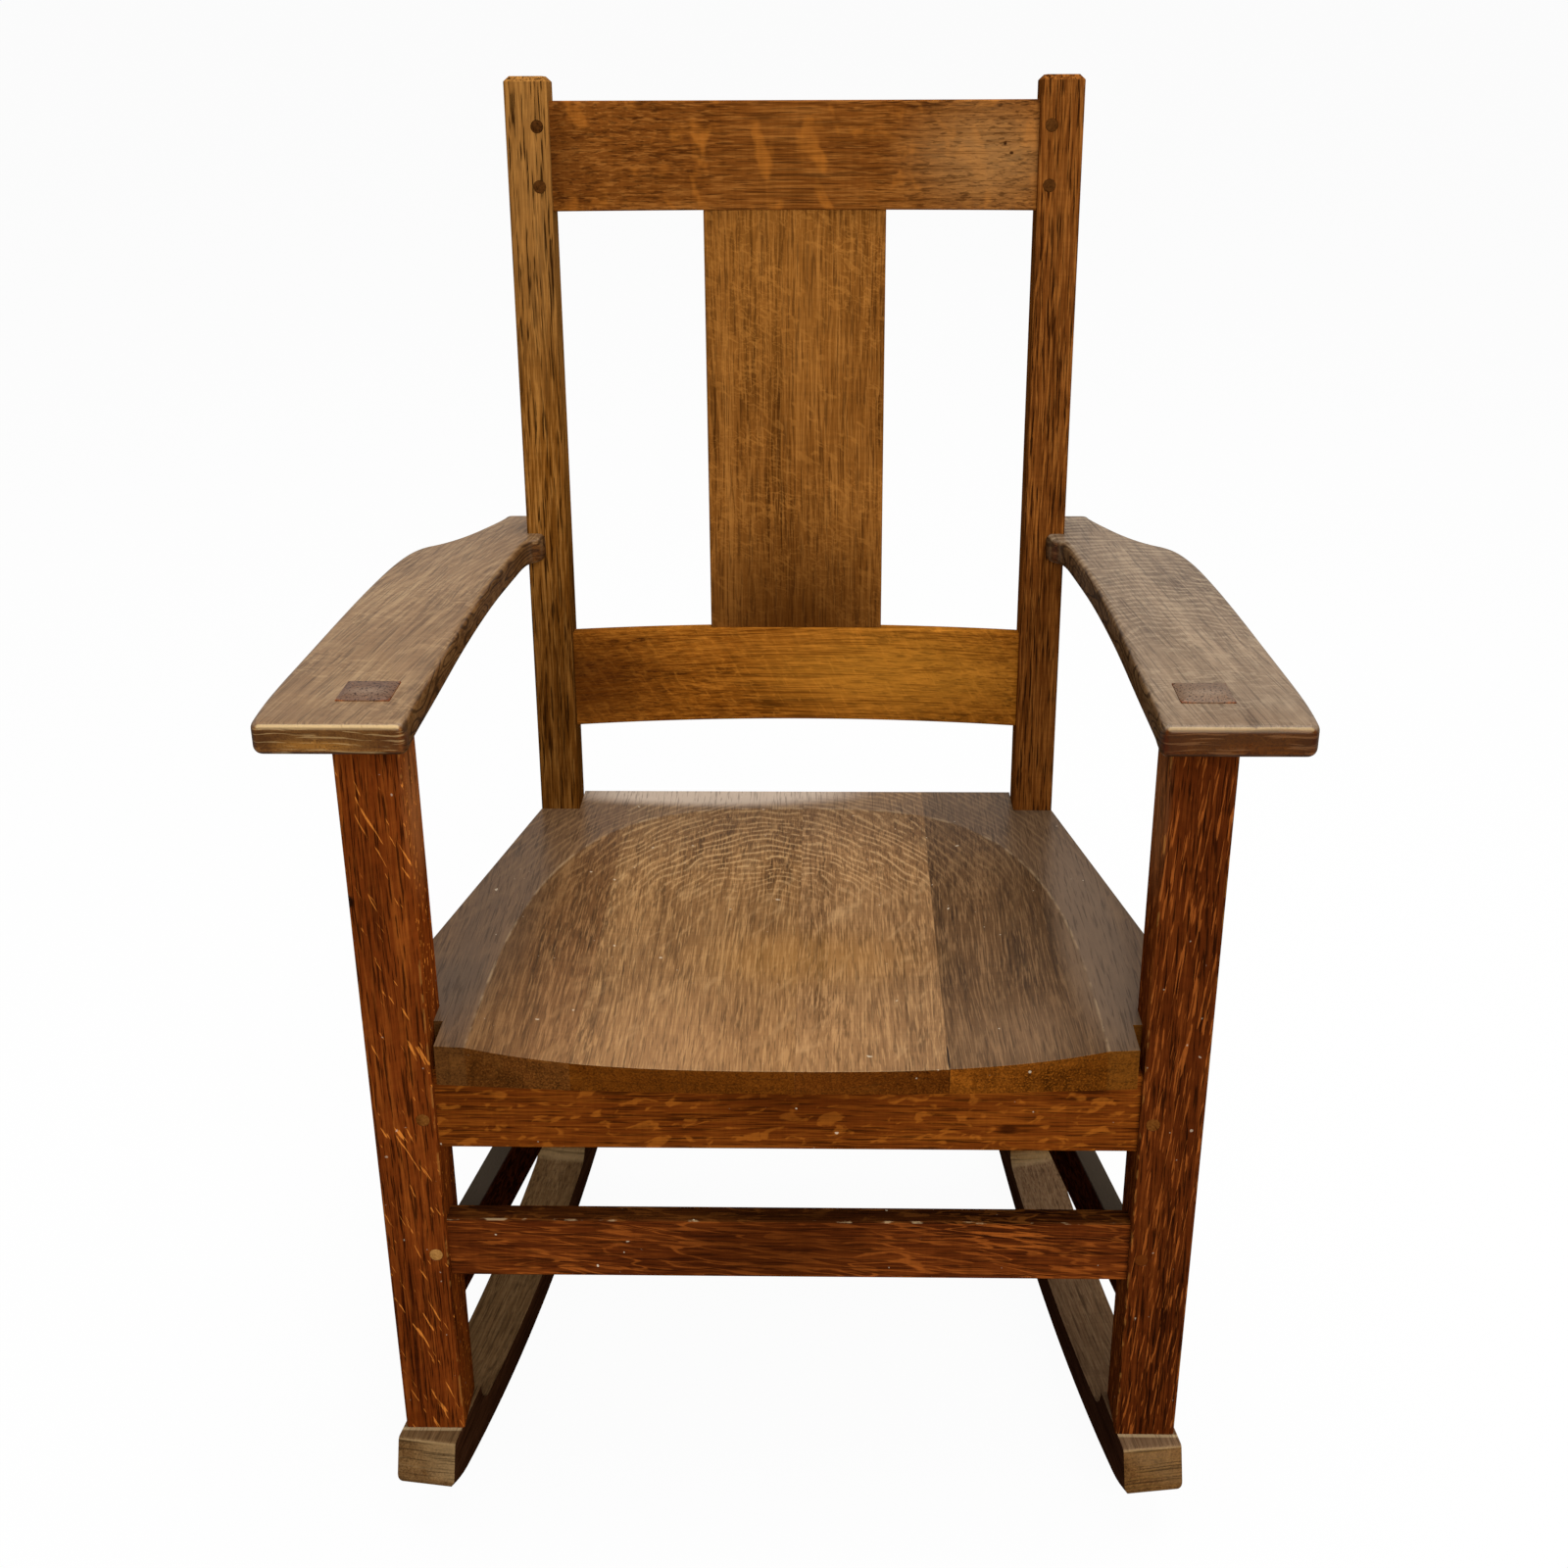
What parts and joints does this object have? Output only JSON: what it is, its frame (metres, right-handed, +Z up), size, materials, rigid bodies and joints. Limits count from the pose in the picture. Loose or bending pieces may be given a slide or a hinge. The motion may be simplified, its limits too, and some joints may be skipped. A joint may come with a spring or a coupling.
{
  "type": "rocking chair",
  "caption": "Oak mission rocking chair with square posts, bowed back rails and a wide splat, flat shaped arms, a scooped plank seat and curved rockers.",
  "frame": {"origin": "middle of the chair's box, on the floor that the rockers stand on", "axes": "+Z up, -Y the way the sitter faces, +X towards the sitter's left"},
  "size_m": [0.6494, 0.5971, 0.9458],
  "materials": {
    "rocker_oak": "dark oiled oak, worn satin",
    "post_oak": "red-brown fumed oak, satin",
    "rear_post_oak": "golden brown fumed oak, satin",
    "rail_oak": "red-brown fumed oak with ray flecks, satin",
    "hidden_rail_oak": "dark fumed oak, satin",
    "back_oak": "golden brown quartersawn oak, satin",
    "arm_oak": "worn tan-brown quartersawn oak, satin",
    "seat_oak": "worn brown quartersawn oak, satin",
    "block_oak": "bare oak, matt",
    "dark_peg": "end grain, satin",
    "light_peg": "light end grain, satin",
    "screw_steel": "dull steel"
  },
  "bodies": {
    "root": {"rocker_left": "rocker_oak", "rocker_right": "rocker_oak", "rocker_dowels": "block_oak", "front_post_left": "post_oak", "front_post_right": "post_oak", "rear_post_left": "rear_post_oak", "rear_post_right": "rear_post_oak", "front_seat_rail": "rail_oak", "rear_seat_rail": "hidden_rail_oak", "side_seat_rail_left": "hidden_rail_oak", "side_seat_rail_right": "hidden_rail_oak", "front_stretcher": "rail_oak", "rear_stretcher": "hidden_rail_oak", "side_stretcher_left": "hidden_rail_oak", "side_stretcher_right": "hidden_rail_oak", "front_corner_blocks": "block_oak", "rear_corner_blocks": "block_oak", "seat_board_1": "seat_oak", "seat_board_2": "seat_oak", "seat_board_3": "seat_oak", "seat_board_4": "seat_oak", "seat_screws": "screw_steel", "arm_left": "arm_oak", "arm_right": "arm_oak", "arm_screws": "screw_steel", "crest_rail": "back_oak", "lower_back_rail": "back_oak", "back_splat": "back_oak", "crest_rail_pegs": "dark_peg", "front_rail_pegs": "dark_peg", "stretcher_pegs": "light_peg"}
  },
  "joints": []
}
